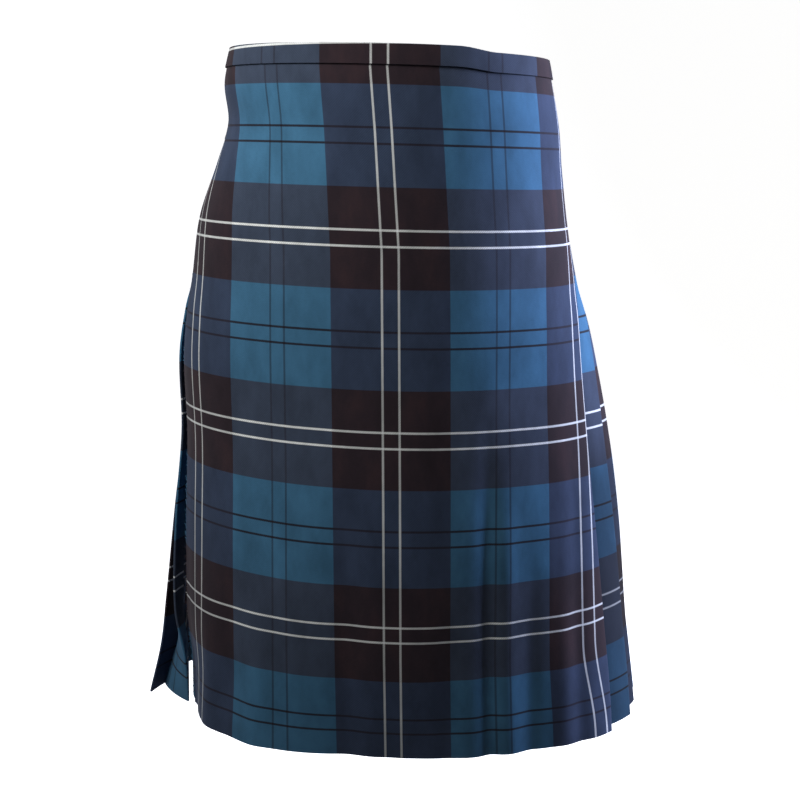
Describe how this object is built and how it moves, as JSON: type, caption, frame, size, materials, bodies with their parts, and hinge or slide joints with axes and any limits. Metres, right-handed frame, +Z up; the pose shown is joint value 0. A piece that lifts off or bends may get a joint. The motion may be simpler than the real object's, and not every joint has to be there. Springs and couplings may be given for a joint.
{
  "type": "kilt",
  "caption": "Pleated tartan wrap skirt in its worn form, with a flat fringed front apron, knife pleats round the back, a narrow waistband, and a strap and buckle at each hip.",
  "frame": {"origin": "the centre of the waist's hollow at the height of the hip straps, 65 mm below the top edge, where the wearer's waist holds the kilt", "axes": "+Z up the wearer, -Y out of the front, +X towards the wearer's left, which is the picture's right"},
  "size_m": [0.4794, 0.3576, 0.6216],
  "materials": {
    "tartan": "woven wool twill with a slight sheen",
    "leather": "black, smooth",
    "buckle": "polished"
  },
  "bodies": {
    "root": {"over_apron": "tartan", "under_apron": "tartan", "pleats_left": "tartan", "pleats_right": "tartan", "apron_fringe": "tartan", "waistband_front": "tartan", "waistband_back": "tartan", "waistband_under": "tartan", "strap_right": "leather", "buckle_tab_right": "leather", "buckle_right": "buckle", "buckle_prong_right": "buckle", "strap_left": "leather", "buckle_tab_left": "leather", "buckle_left": "buckle", "buckle_prong_left": "buckle"}
  },
  "joints": []
}
